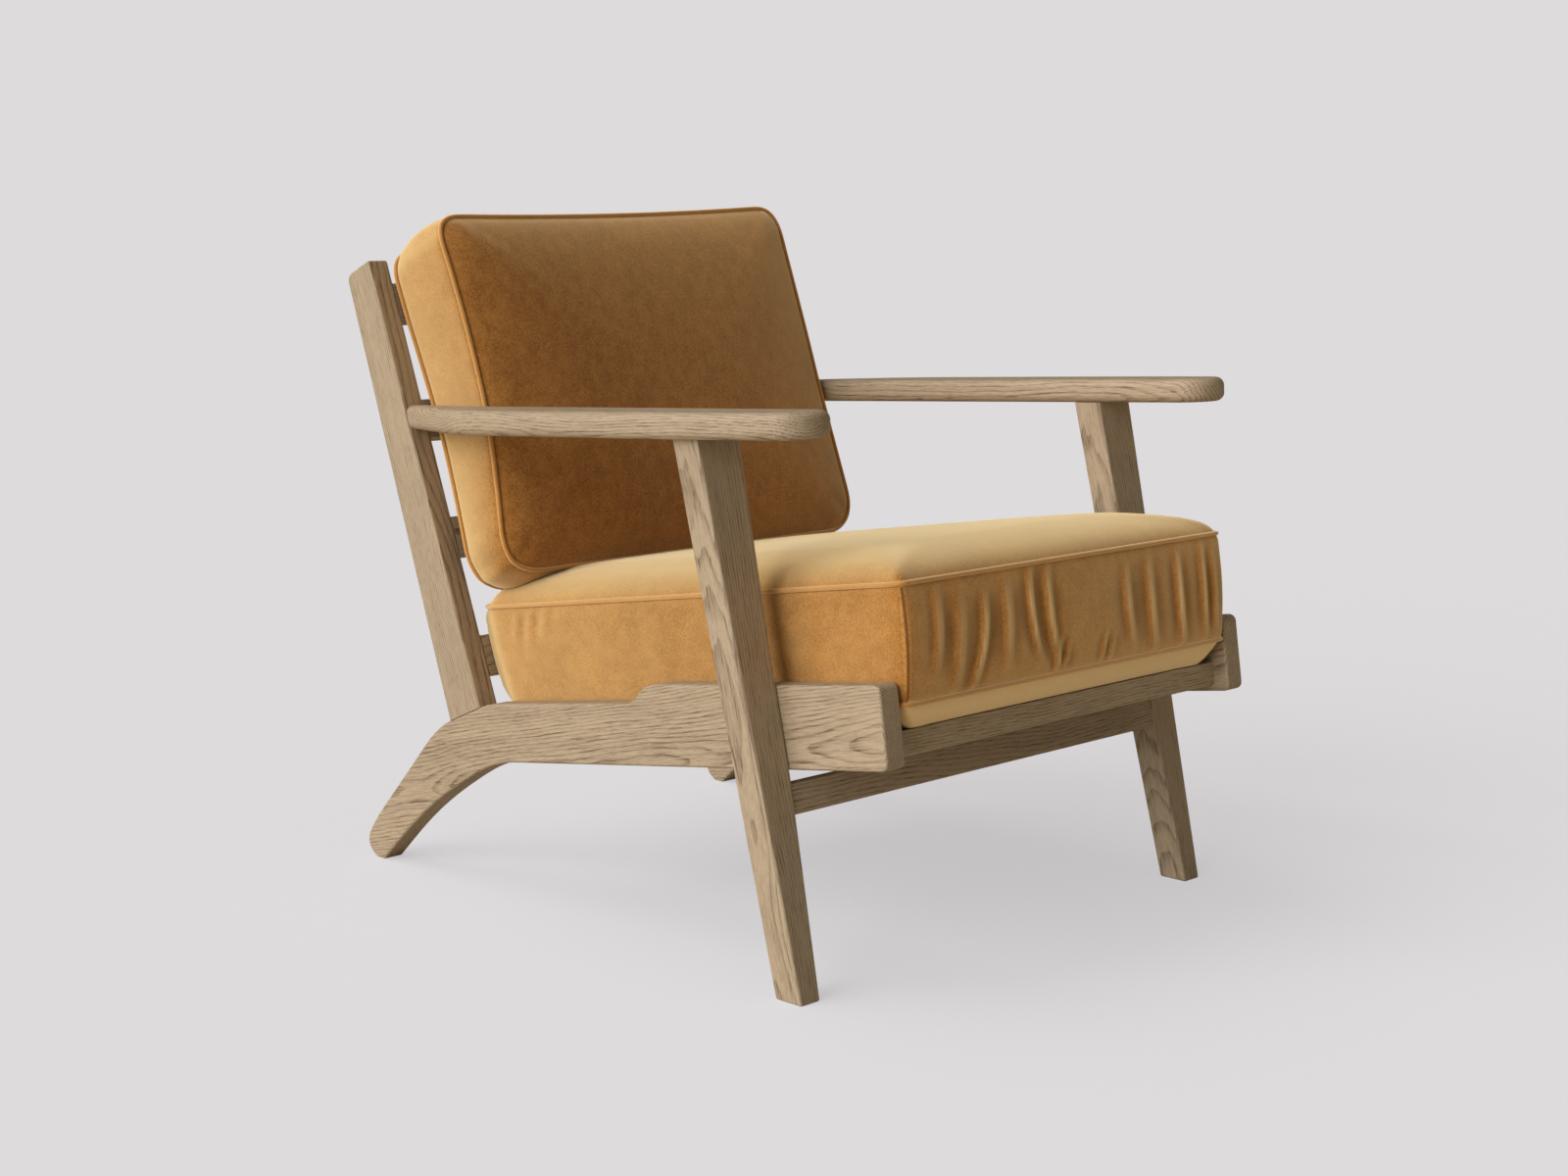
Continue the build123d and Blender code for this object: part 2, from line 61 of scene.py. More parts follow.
# Cloth
CLOTH_STEPS = 20
CLOTH_PRESSURE = 2.0
CLOTH_CAP = 0.006                       # furthest that a point may move
SEAT_SPARE_CLOTH = 0.006                # extra fabric in the seat's front band, as a share
PANEL_SHARE = 0.35                      # how much of the cloth's move the panels take

# Seat cushion
SEAT_HALF = 0.2672
SEAT_TOP_FRONT = (-0.4245, 0.4275)      # Y and Z of the upper seam at the front
SEAT_TOP_REAR_Y = 0.2450
SEAT_TOP_SLOPE = 0.1521
SEAT_LOW_FRONT = (-0.4345, 0.3080)
SEAT_LOW_REAR_Y = 0.1985
SEAT_CROWN = 0.0390
SEAT_UNDER_DROP = 0.0284                # from the lower seam down to the deck

# Back cushion
BACK_HALF = 0.2695
BACK_SEAM_SLOPE = 0.3435                # the front seam's depth per metre of height
BACK_SEAM_Y = 0.0302
BACK_FRONT_Z = (0.3770, 0.7795)
BACK_REAR_Z = (0.3490, 0.7360)
BACK_CROWN = 0.0275
LOW_BACK_Z = 0.42                       # only points below this can meet the seat cushion
RAY_START_Z = 0.6


def deck_z(y):
    """Height of the deck at a depth."""
    return DECK_FRONT[1] - SEAT_SLOPE * (y - DECK_FRONT[0])


def back_y(z):
    """Depth of the plane of the back at a height."""
    return BACK_FOOT[0] + BACK_SLOPE * (z - BACK_FOOT[1])


def smooth(value):
    """Ease from 0 to 1 over the same span: 3v^2 - 2v^3, flat outside it."""
    value = np.clip(value, 0, 1)
    return value * value * (3 - 2 * value)


# Meshes


def mesh_piece(name, points, faces):
    """An object at the origin whose mesh holds the given points and faces, shaded smooth."""
    mesh = bpy.data.meshes.new(name)
    mesh.from_pydata(np.asarray(points).reshape(-1, 3).tolist(), [], faces.tolist())
    mesh.validate()
    mesh.shade_smooth()
    piece = bpy.data.objects.new(name, mesh)
    bpy.context.scene.collection.objects.link(piece)
    return piece


def read_points(piece):
    points = np.zeros(len(piece.data.vertices) * 3, np.float32)
    piece.data.vertices.foreach_get("co", points)
    return points.reshape(-1, 3).astype(float)


def write_points(piece, points):
    piece.data.vertices.foreach_set("co", points.astype(np.float32).ravel())
    piece.data.update()


def read_normals(piece):
    normals = np.zeros(len(piece.data.vertices) * 3, np.float32)
    piece.data.vertex_normals.foreach_get("vector", normals)
    return normals.reshape(-1, 3).astype(float)


def grid_faces(index, closed=False):
    """Quads between neighbouring entries of a table of point numbers; closed joins the last column to the first."""
    if closed:
        index = np.hstack([index, index[:, :1]])
    return np.stack([index[:-1, :-1], index[:-1, 1:], index[1:, 1:], index[1:, :-1]], -1).reshape(-1, 4)


def edge_order(rows, columns):
    """Numbers of a grid's edge points, once round, counter-clockwise with columns to the right and rows up."""
    index = np.arange((rows + 1) * (columns + 1)).reshape(rows + 1, columns + 1)
    return np.concatenate([index[0, :-1], index[:-1, -1], index[-1, :0:-1], index[:0:-1, 0]])


def round_corners(a, b, half_a, half_b, radius):
    """Carry the square of -1 to 1 to a rectangle with round corners. In each corner's square of one radius, a point
    keeps its direction from the arc's centre, and its larger coordinate becomes its distance from it."""
    x, y = a * half_a, b * half_b
    in_x = np.clip((np.abs(x) - (half_a - radius)) / radius, 0, 1)
    in_y = np.clip((np.abs(y) - (half_b - radius)) / radius, 0, 1)
    away = np.hypot(in_x, in_y)
    pull = np.where(away > 0, np.maximum(in_x, in_y) / np.maximum(away, 1e-9), 1)
    pull = np.where((in_x > 0) & (in_y > 0), pull, 1)
    x = np.sign(x) * (np.abs(x) - radius * in_x * (1 - pull))
    y = np.sign(y) * (np.abs(y) - radius * in_y * (1 - pull))
    return x, y


def rise(distance, reach):
    """How far a panel has puffed up at a distance from its seam: 1 - exp(-(d / reach)^0.8)."""
    return 1 - np.exp(-np.power(np.maximum(distance, 0) / reach, 0.8))


def crown_share(*distances):
    """A panel's rise near several edges. Each distance is in reaches; together they act as one, the cube root of the
    inverse of the sum of their inverse cubes, so the corners fill nearly as well as the sides."""
    inverse = sum(np.maximum(distance, 1e-4) ** -3.0 for distance in distances)
    return rise(inverse ** (-1 / 3), 1.0)


def boxed_cushion(name, columns, rows, rings, upper, lower, bulge, painted_fold_light):
    """The closed cover of a boxed cushion. Two even grids over the square (a, b) are carried by upper() and lower()
    to the panels. The band joins their edges: a ring lies a share t of the way, and bulge() moves it outwards. Faces
    are numbered 0 upper panel, 1 band, 2 front of the band, 3 lower panel. The last argument gives the share of
    painted light and shade kept in a point attribute: painted highlight on fold ridges, painted shade between them,
    and painted light on the whole lower panel. "crease_edge" keeps the seams sharp when the mesh is subdivided, and
    "band" marks the band's points."""
    a, b = np.meshgrid(np.linspace(-1, 1, columns + 1), np.linspace(-1, 1, rows + 1))
    a, b = a.ravel(), b.ravel()
    panel_one, panel_two = upper(a, b), lower(a, b)
    edge = edge_order(rows, columns)
    t = np.linspace(0, 1, rings + 1)[1:-1, None, None]
    band = panel_one[edge] * (1 - t) + panel_two[edge] * t
    band = bulge(band, t[..., 0], a[edge], b[edge])
    count, around = len(a), len(edge)
    points = np.concatenate([panel_one, band.reshape(-1, 3), panel_two])
    grid = np.arange(count).reshape(rows + 1, columns + 1)
    middle = count + np.arange((rings - 1) * around).reshape(rings - 1, around)
    last = count + (rings - 1) * around
    belt = np.vstack([edge[None, :], middle, last + edge[None, :]])
    faces = np.concatenate([
        grid_faces(grid), grid_faces(belt, closed=True)[:, ::-1], grid_faces(grid + last)[:, ::-1],
    ])
    piece = mesh_piece(name, points, faces)
    belt_kind = np.full((rings, around), 1, np.int32)
    belt_kind[:, :columns] = 2
    kinds = [np.zeros(rows * columns, np.int32), belt_kind.ravel(), np.full(rows * columns, 3, np.int32)]
    piece.data.polygons.foreach_set("material_index", np.concatenate(kinds))
    fold_light_share = np.zeros(len(points), np.float32)
    fold_light_share[middle] = painted_fold_light(band, t[..., 0], a[edge], b[edge])
    fold_light_share[last:] = 1.0       # painted light: the whole lower panel gets the full share, only to make its front edge paler
    piece.data.attributes.new("painted_fold_light", "FLOAT", "POINT").data.foreach_set("value", fold_light_share)
    seams = {"upper": edge, "lower": last + edge}
    crease = np.zeros(len(piece.data.edges), np.float32)
    ends = np.zeros(len(piece.data.edges) * 2, np.int32)
    piece.data.edges.foreach_get("vertices", ends)
    on_seam = np.zeros(len(points), bool)
    on_seam[edge] = on_seam[last + edge] = True
    crease[on_seam[ends.reshape(-1, 2)].all(1)] = 1.0
    piece.data.attributes.new("crease_edge", "FLOAT", "EDGE").data.foreach_set("value", crease)
    in_band = np.zeros(len(points), np.float32)
    in_band[middle] = 1.0
    piece.data.attributes.new("band", "FLOAT", "POINT").data.foreach_set("value", in_band)
    held = piece.vertex_groups.new(name="seams")
    held.add(np.nonzero(on_seam)[0].tolist(), 1.0, "REPLACE")
    loose = piece.vertex_groups.new(name="loose")
    loose.add(middle[:, b[edge] < -0.98].ravel().tolist(), 1.0, "REPLACE")
    return piece, seams


def settle(piece, spare):
    """Let the cover relax over its filling with its seams held: cloth pushed outwards by pressure, with a share of
    spare fabric in the group "loose". The cloth would go further than suits the cushion, so no point moves further
    than the cap, and a panel's points move less: the drawn shape stays the main one."""
    start = read_points(piece)
    cloth = piece.modifiers.new("cover", "CLOTH")
    cloth.settings.quality = 5
    cloth.settings.mass = 0.3
    cloth.settings.tension_stiffness = 20
    cloth.settings.compression_stiffness = 20
    cloth.settings.shear_stiffness = 8
    cloth.settings.bending_stiffness = 0.4
    cloth.settings.air_damping = 2
    cloth.settings.shrink_min = 0.0
    cloth.settings.shrink_max = -spare
    cloth.settings.vertex_group_shrink = "loose"
    cloth.settings.vertex_group_mass = "seams"
    cloth.settings.use_pressure = True
    cloth.settings.uniform_pressure_force = CLOTH_PRESSURE
    cloth.settings.effector_weights.gravity = 0
    cloth.collision_settings.use_collision = False
    cloth.point_cache.frame_start = 1
    cloth.point_cache.frame_end = CLOTH_STEPS
    scene = bpy.context.scene
    for step in range(1, CLOTH_STEPS + 1):
        scene.frame_set(step)
    shown = piece.evaluated_get(bpy.context.evaluated_depsgraph_get())
    moved = np.zeros(len(shown.data.vertices) * 3, np.float32)
    shown.data.vertices.foreach_get("co", moved)
    move = moved.reshape(-1, 3) - start
    length = np.linalg.norm(move, axis=1, keepdims=True)
    print(piece.name, "settled by up to", round(float(length.max()) * 1000, 1), "mm, mean",
          round(float(length.mean()) * 1000, 1), "share of points held back by the cap",
          round(float((length > CLOTH_CAP).mean()), 2))
    move = move * np.minimum(1, CLOTH_CAP / np.maximum(length, 1e-9)) * move_share(piece)[:, None]
    piece.modifiers.remove(cloth)
    scene.frame_set(1)
    write_points(piece, start + move)


def move_share(piece):
    """How much of the cloth's move each point takes: all of it in the band, a share of it on the panels, whose crown
    is already the cushion's."""
    values = np.zeros(len(piece.data.vertices), np.float32)
    piece.data.attributes["band"].data.foreach_get("value", values)
    return PANEL_SHARE + (1 - PANEL_SHARE) * values


def subdivide_once(piece):
    """Replace the mesh by its Catmull-Clark subdivision."""
    finer = piece.modifiers.new("finer", "SUBSURF")
    finer.levels = finer.render_levels = 1
    shown = piece.evaluated_get(bpy.context.evaluated_depsgraph_get())
    mesh = bpy.data.meshes.new_from_object(shown)
    piece.modifiers.remove(finer)
    piece.data = mesh
    mesh.shade_smooth()


def distance_to(points, line):
    """Distance from each point to the nearest of a line's points: |p|^2 + |q|^2 - 2 p.q, least over the line."""
    nearest = [
        ((some * some).sum(1)[:, None] + (line * line).sum(1) - 2 * some @ line.T).min(1)
        for some in np.array_split(points, max(1, len(points) // 2000))
    ]
    return np.sqrt(np.maximum(np.concatenate(nearest), 0))


def finer_loop(loop, times=3):
    """A closed line with points put between its points, evenly."""
    following = np.roll(loop, -1, axis=0)
    shares = np.arange(times)[None, :, None] / times
    return (loop[:, None, :] * (1 - shares) + following[:, None, :] * shares).reshape(-1, 3)


def seam_valleys(piece, loops):
    """Sink the cover beside its seams along the normal: depth times exp(-(distance / reach)^2)."""
    points, normals = read_points(piece), read_normals(piece)
    away = distance_to(points, np.concatenate([finer_loop(loop) for loop in loops]))
    write_points(piece, points - normals * (SEAM_DEPTH * np.exp(-(away / SEAM_REACH) ** 2))[:, None])


def piping(name, loop, centre, around=10):
    """A round cord sewn along a closed seam: a circle carried along the seam, its middle moved a little outwards from
    the cushion's centre."""
    for _ in range(2):
        loop = (np.roll(loop, 1, axis=0) + 2 * loop + np.roll(loop, -1, axis=0)) / 4
    ahead = np.roll(loop, -1, axis=0) - np.roll(loop, 1, axis=0)
    ahead /= np.linalg.norm(ahead, axis=1, keepdims=True)
    out = loop - centre
    out -= (out * ahead).sum(1, keepdims=True) * ahead
    out /= np.linalg.norm(out, axis=1, keepdims=True)
    across = np.cross(ahead, out)
    angle = np.arange(around) * 2 * pi / around
    ring = (out[:, None] * np.cos(angle)[None, :, None] + across[:, None] * np.sin(angle)[None, :, None])
    points = (loop + out * PIPING_PROUD)[:, None] + ring * PIPING_RADIUS
    index = np.arange(len(loop) * around).reshape(len(loop), around)
    index = np.vstack([index, index[:1]])
    return mesh_piece(name, points, grid_faces(index, closed=True)[:, ::-1])


# Seat cushion


def seat_outline(a, b, front_y, rear_y):
    """Plan of a seam: a rectangle with tight front corners and rounder rear ones."""
    middle, half = (front_y + rear_y) / 2, (rear_y - front_y) / 2
    radius = 0.005 + 0.027 * smooth((b + 0.2) / 0.4)
    x, y = round_corners(a, b, SEAT_HALF, half, radius)
    return x, middle + y


def seat_upper(a, b):
    """Upper panel: the seam's sloping plane, raised by the crown."""
    x, y = seat_outline(a, b, SEAT_TOP_FRONT[0], SEAT_TOP_REAR_Y)
    half = (SEAT_TOP_REAR_Y - SEAT_TOP_FRONT[0]) / 2
    full = crown_share(SEAT_HALF * (1 - np.abs(a)) / 0.024, half * (1 + b) / 0.031, half * (1 - b) / 0.020)
    z = SEAT_TOP_FRONT[1] - SEAT_TOP_SLOPE * (y - SEAT_TOP_FRONT[0])
    return np.stack([x, y, z + SEAT_CROWN * full], -1)


def seat_lower(a, b):
    """Lower panel: the lower seam's plane, dropping to the deck in a short curve."""
    x, y = seat_outline(a, b, SEAT_LOW_FRONT[0], SEAT_LOW_REAR_Y)
    half = (SEAT_LOW_REAR_Y - SEAT_LOW_FRONT[0]) / 2
    side = smooth(np.sqrt(SEAT_HALF * (1 - np.abs(a)) / 0.032))
    front = smooth(np.sqrt(half * (1 + b) / 0.018))
    rear = smooth(np.sqrt(half * (1 - b) / 0.040))
    z = SEAT_LOW_FRONT[1] - SEAT_SLOPE * (y - SEAT_LOW_FRONT[0])
    return np.stack([x, y, z - SEAT_UNDER_DROP * side * front * rear], -1)


# Upright folds in the seat's front band: place across, height, width, lean, and the shares of the band they run over
FRONT_FOLDS = (
    (-0.218, 0.0059, 0.0066, 0.010, 0.02, 0.80), (-0.186, 0.0045, 0.0079, 0.006, 0.10, 1.00),
    (-0.148, 0.0086, 0.0062, 0.012, 0.15, 1.00), (-0.112, 0.0059, 0.0075, 0.004, 0.05, 0.90),
    (-0.075, 0.0095, 0.0057, -0.012, 0.00, 0.85), (-0.046, 0.0083, 0.0062, -0.010, 0.00, 0.98),
    (-0.024, 0.0062, 0.0044, 0.006, 0.66, 1.00), (-0.008, 0.0052, 0.0044, 0.008, 0.72, 1.00),
    (0.052, 0.0059, 0.0044, 0.006, 0.68, 1.00), (0.066, 0.0048, 0.0044, 0.006, 0.74, 1.00),
    (0.086, 0.0066, 0.0070, -0.008, 0.12, 0.90), (0.127, 0.0069, 0.0075, -0.006, 0.05, 1.00),
    (0.180, 0.0086, 0.0070, -0.005, 0.05, 1.00), (0.226, 0.0076, 0.0062, -0.003, 0.03, 0.97),
    (0.246, 0.0055, 0.0053, -0.002, 0.10, 0.95),
)

# The same for the sides, given by place along the depth
SIDE_FOLDS = (
    (0.120, 0.0022, 0.0060, 0.012, 0.00, 0.35), (0.145, 0.0026, 0.0060, 0.012, 0.00, 0.40),
    (0.168, 0.0024, 0.0055, 0.010, 0.00, 0.38), (-0.300, 0.0012, 0.0160, 0.004, 0.10, 0.90),
    (-0.080, 0.0010, 0.0220, -0.006, 0.00, 0.80),
)


def folds(place, share, table):
    """Height of a set of folds: each is a ridge across the place, with a shallow dip at both sides, and swells and
    dies out along its run as sin(pi s)^0.6. It curves to the left by four times its lean times (share - 0.3)^2."""
    height = np.zeros(np.broadcast(place, share).shape)
    for middle, high, wide, lean, first, last in table:
        along = np.clip((share - first) / (last - first), 0, 1)
        u = (place - middle + lean * 4 * (share - 0.3) ** 2) / wide
        ridge = np.exp(-u * u) - 0.55 * np.exp(-(u / 2.3) ** 2)
        height += high * np.sin(pi * along) ** 0.6 * ridge
    return height


def seat_bulge(band, share, a, b):
    """Push the band out, most at half its height, and lay its folds in."""
    swell = 4 * share * (1 - share)
    facing_front = smooth((-b - 0.965) / 0.03) * smooth((1 - np.abs(a)) / 0.02)
    facing_rear = smooth((b - 0.965) / 0.03)
    facing_side = smooth((np.abs(a) - 0.965) / 0.03)
    front_out = 0.0055 * swell + folds(band[..., 0], share, FRONT_FOLDS)
    side_out = 0.0022 * swell + folds(band[..., 1], share, SIDE_FOLDS)
    band[..., 1] -= facing_front * front_out
    band[..., 1] += facing_rear * 0.0200 * swell
    band[..., 0] += np.sign(a) * facing_side * side_out
    return band


def seat_fold_light(band, share, a, b):
    """Painted light and shade on the front folds: up to 1 on their ridges for a painted highlight, down to -1 between
    them for painted shade.
    """
    front = smooth((-b - 0.965) / 0.03) * smooth((1 - np.abs(a)) / 0.02)
    return front * np.clip(folds(band[..., 0], share, FRONT_FOLDS) / 0.0050, -1, 1)


def no_fold_light(band, share, a, b):
    return 0.0


def keep_seat_clear(points):
    """Hold the cushion on the deck, between the rails and in front of the back."""
    points[:, 2] = np.maximum(points[:, 2], deck_z(points[:, 1]) + SOFT_GAP)
    between_slats = 0.004 * smooth((points[:, 2] - 0.303) / 0.012)
    points[:, 1] = np.minimum(points[:, 1], back_y(points[:, 2]) - 2 * SOFT_GAP + between_slats)
    limit = RAIL_INNER - 2 * SOFT_GAP
    points[:, 0] = np.clip(points[:, 0], -limit, limit)
    return points


# Back cushion


def back_half(b):
    """Half width: fullest at the lower corners, a little fuller at the upper ones."""
    return BACK_HALF + 0.021 * np.maximum(-b, 0) ** 1.5 + 0.009 * np.maximum(b, 0) ** 2.5


def back_outline(a, b, low, high):
    """Front view of a seam: X and Z, with round corners, rounder below, and a top that dips in the middle."""
    middle, half = (low + high) / 2, (high - low) / 2
    radius = np.where(b > 0, 0.030, 0.046)
    x, z = round_corners(a, b, 1.0, half / BACK_HALF, radius / BACK_HALF)
    top = np.clip(z * BACK_HALF / half, 0, 1) ** 3
    x = x * back_half(b) + 0.007 * smooth(a * 2 - 1) * (1 - b * b)
    return x, middle + z * BACK_HALF + top * (0.005 * a * a + 0.005 * a)


def back_upper(a, b):
    """Front panel: the front seam's plane, brought forwards by the crown."""
    x, z = back_outline(a, b, *BACK_FRONT_Z)
    half = (BACK_FRONT_Z[1] - BACK_FRONT_Z[0]) / 2
    crown = BACK_CROWN * crown_share(BACK_HALF * (1 - np.abs(a)) / 0.042, half * (1 - np.abs(b)) / 0.040)
    y = BACK_SEAM_Y + BACK_SEAM_SLOPE * z - 0.007 * np.cos(1.5 * (b - 0.1))
    lean = atan(BACK_SEAM_SLOPE)
    return np.stack([x, y - crown * cos(lean), z + crown * sin(lean)], -1)


def back_lower(a, b):
    """Rear panel: a seam that leaves the plane of the back towards its ends, and a filling that meets the slats."""
    x, z = back_outline(a, b, *BACK_REAR_Z)
    below = np.maximum(0.655 - z, 0) / 0.292
    above = np.maximum(z - 0.655, 0) / 0.078
    gap = 0.006 + 0.020 * below ** 1.2 + 0.005 * above ** 2
    half = (BACK_REAR_Z[1] - BACK_REAR_Z[0]) / 2
    full = rise(BACK_HALF * (1 - np.abs(a)), 0.030) * rise(half * (1 - np.abs(b)), 0.030)
    y = back_y(z) - gap * (1 - full) - SOFT_GAP
    return np.stack([x * 0.985, y, z], -1)


def back_bulge(band, share, a, b):
    """Push the band out, most at half its width: along X at the sides, up at the top, down at the bottom."""
    swell = 4 * share * (1 - share)
    top = smooth((b - 0.93) / 0.06)
    bottom = smooth((-b - 0.93) / 0.06)
    side = smooth((np.abs(a) - 0.93) / 0.06)
    low_share = smooth((0.45 - (b + 1) / 2) / 0.2)
    band[..., 0] += np.sign(a) * side * swell * (0.0015 + 0.004 * low_share)
    band[..., 2] += swell * (0.0095 * top - 0.010 * bottom)
    band[..., 1] += swell * 0.003 * top
    return band


def keep_back_clear(points):
    """Hold the cushion in front of the back and between the arms."""
    points[:, 1] = np.minimum(points[:, 1], back_y(points[:, 2]) - SOFT_GAP)
    at_arm = smooth(2 - np.abs(points[:, 2] - 0.555) / 0.035)
    arm_inner = 0.2915 - 0.0175 * smooth((points[:, 1] - 0.190) / 0.155) - 0.0015
    limit = 0.300 - at_arm * (0.300 - arm_inner)
    points[:, 0] = np.clip(points[:, 0], -limit, limit)
    return points


def rest_on(points, piece, gap):
    """Lift the lowest points that are under the top of another piece until they are a gap above it. Rays are cast one
    at a time, because Blender has no call for many."""
    tree = BVHTree.FromObject(piece, bpy.context.evaluated_depsgraph_get())
    for number in np.nonzero(points[:, 2] < LOW_BACK_Z)[0]:
        x, y, z = points[number]
        hit = tree.ray_cast((x, y, RAY_START_Z), (0, 0, -1))[0]
        if hit is not None and z < hit.z + gap:
            points[number, 2] = hit.z + gap
    return points


# Materials


class Wiring:
    """Short ways to add nodes to one node tree."""

    def __init__(self, tree):
        self.tree = tree

    def node(self, kind, **values):
        made = self.tree.nodes.new(kind)
        for key, value in values.items():
            setattr(made, key, value)
        return made

    def give(self, socket, value):
        if isinstance(value, bpy.types.NodeSocket):
            self.tree.links.new(value, socket)
        else:
            socket.default_value = value

    def math(self, operation, first, second=0.0, clamp=False):
        made = self.node("ShaderNodeMath", operation=operation, use_clamp=clamp)
        self.give(made.inputs[0], first)
        self.give(made.inputs[1], second)
        return made.outputs[0]

    def remap(self, value, low, high, to_low=0.0, to_high=1.0, kind="SMOOTHSTEP"):
        made = self.node("ShaderNodeMapRange", interpolation_type=kind)
        for socket, given in zip(made.inputs, (value, low, high, to_low, to_high)):
            self.give(socket, given)
        return made.outputs[0]

    def mix(self, share, first, second):
        made = self.node("ShaderNodeMix", data_type="RGBA")
        self.give(made.inputs["Factor"], share)
        self.give(made.inputs["A"], first)
        self.give(made.inputs["B"], second)
        return made.outputs["Result"]

    def noise(self, vector, scale, detail=2.0, roughness=0.5, distortion=0.0):
        made = self.node("ShaderNodeTexNoise")
        self.give(made.inputs["Vector"], vector)
        for name, value in (
            ("Scale", scale), ("Detail", detail), ("Roughness", roughness), ("Distortion", distortion),
        ):
            self.give(made.inputs[name], value)
        return made.outputs["Fac"]

    def stretch(self, vector, scale, location=(0, 0, 0), rotation=(0, 0, 0)):
        made = self.node("ShaderNodeMapping")
        self.give(made.inputs["Vector"], vector)
        made.inputs["Location"].default_value = location
        made.inputs["Rotation"].default_value = rotation
        made.inputs["Scale"].default_value = scale
        return made.outputs[0]

    def parts(self, vector):
        made = self.node("ShaderNodeSeparateXYZ")
        self.give(made.inputs[0], vector)
        return made.outputs


def node_group(name, inputs, outputs):
    """An empty shader group. Inputs and outputs are (name, kind) with kind COLOR, FLOAT or VECTOR."""
    kinds = {"COLOR": "NodeSocketColor", "FLOAT": "NodeSocketFloat", "VECTOR": "NodeSocketVector"}
    group = bpy.data.node_groups.new(name, "ShaderNodeTree")
    for label, kind in inputs:
        group.interface.new_socket(name=label, in_out="INPUT", socket_type=kinds[kind])
    for label, kind in outputs:
        group.interface.new_socket(name=label, in_out="OUTPUT", socket_type=kinds[kind])
    into = group.nodes.new("NodeGroupInput")
    out = group.nodes.new("NodeGroupOutput")
    return group, Wiring(group), into.outputs, out.inputs


RING_SPACING = 0.0033


def oak_group():
    """Grey-brown oak. The first coordinate runs along the grain, and the growth rings lie round the line on which the
    other two are nought: ring number = distance from that line / spacing, made uneven by slow noise."""
    group, w, given, gives = node_group(
        "oak_grain",
        (("Vector", "VECTOR"), ("Light", "COLOR"), ("Dark", "COLOR"), ("Figure", "FLOAT")),
        (("Color", "COLOR"), ("Roughness", "FLOAT"), ("Height", "FLOAT")),
    )
    place = given["Vector"]
    sway = w.noise(w.stretch(place, (2.4, 6, 6)), 1.0, 1.0, 0.5)
    ripple = w.noise(w.stretch(place, (14, 60, 60)), 1.0, 2.0, 0.5)
    _, left, up = w.parts(place)
    reach = w.math("SQRT", w.math("ADD", w.math("MULTIPLY", left, left), w.math("MULTIPLY", up, up)))
    uneven = w.math("ADD", w.math("MULTIPLY", w.math("SUBTRACT", sway, 0.5), 0.045),
                    w.math("MULTIPLY", w.math("SUBTRACT", ripple, 0.5), 0.0040))
    rings = w.math("DIVIDE", w.math("ADD", reach, uneven), RING_SPACING)
    phase = w.math("FRACT", rings)
    late = w.remap(phase, 0.48, 0.94)
    edge = w.remap(phase, 0.94, 1.0, 1.0, 0.0)
    line = w.math("MULTIPLY", late, edge)
    pore_long = w.noise(w.stretch(place, (24, 620, 620)), 1.0, 3.0, 0.60)
    pore_fine = w.noise(w.stretch(place, (90, 900, 900)), 1.0, 2.0, 0.6)
    pores = w.remap(pore_long, 0.48, 0.66)
    fine = w.remap(pore_fine, 0.42, 0.66)
    streak = w.noise(w.stretch(place, (2.2, 60, 60)), 1.0, 3.0, 0.6)
    cloud = w.noise(w.stretch(place, (3.0, 7, 7)), 1.0, 2.0, 0.5)
    figure = w.math("MULTIPLY", line, given["Figure"])
    dark = w.math("ADD", w.math("MULTIPLY", figure, 0.50),
                  w.math("MULTIPLY", pores, w.math("ADD", 0.26, w.math("MULTIPLY", line, 0.34))))
    dark = w.math("ADD", dark, w.math("MULTIPLY", fine, 0.26))
    dark = w.math("ADD", dark, w.math("MULTIPLY", w.math("SUBTRACT", streak, 0.5), 0.50))
    dark = w.math("ADD", dark, w.math("MULTIPLY", w.math("SUBTRACT", cloud, 0.5), 0.35), clamp=True)
    colour = w.mix(dark, given["Light"], given["Dark"])
    w.give(gives["Color"], colour)
    w.give(gives["Roughness"], w.remap(dark, 0.0, 1.0, 0.50, 0.72, "LINEAR"))
    height = w.math("ADD", w.math("MULTIPLY", pores, -0.6), w.math("MULTIPLY", figure, -0.35))
    w.give(gives["Height"], w.math("ADD", height, w.math("MULTIPLY", fine, -0.25)))
    return group


def velvet_group():
    """Cut pile: soft patches where the pile leans another way, and a fine grain of tufts."""
    group, w, given, gives = node_group(
        "velvet_pile",
        (("Vector", "VECTOR"), ("Light", "COLOR"), ("Dark", "COLOR")),
        (("Color", "COLOR"), ("Roughness", "FLOAT"), ("Height", "FLOAT")),
    )
    place = given["Vector"]
    patch = w.noise(w.stretch(place, (7, 7, 7)), 1.0, 2.0, 0.5, 0.4)
    brush = w.noise(w.stretch(place, (70, 45, 60)), 1.0, 3.0, 0.6)
    tuft = w.noise(w.stretch(place, (430, 430, 430)), 1.0, 2.0, 0.7)
    shade = w.math("ADD", w.math("MULTIPLY", w.remap(patch, 0.30, 0.70), 0.22),
                   w.math("MULTIPLY", w.remap(brush, 0.25, 0.75), 0.30))
    shade = w.math("ADD", shade, w.math("MULTIPLY", w.remap(tuft, 0.34, 0.66), 0.46), clamp=True)
    w.give(gives["Color"], w.mix(shade, given["Light"], given["Dark"]))
    w.give(gives["Roughness"], w.remap(shade, 0.0, 1.0, 0.82, 0.95, "LINEAR"))
    height = w.math("ADD", w.math("MULTIPLY", tuft, 0.7), w.math("MULTIPLY", brush, 0.6))
    w.give(gives["Height"], height)
    return group


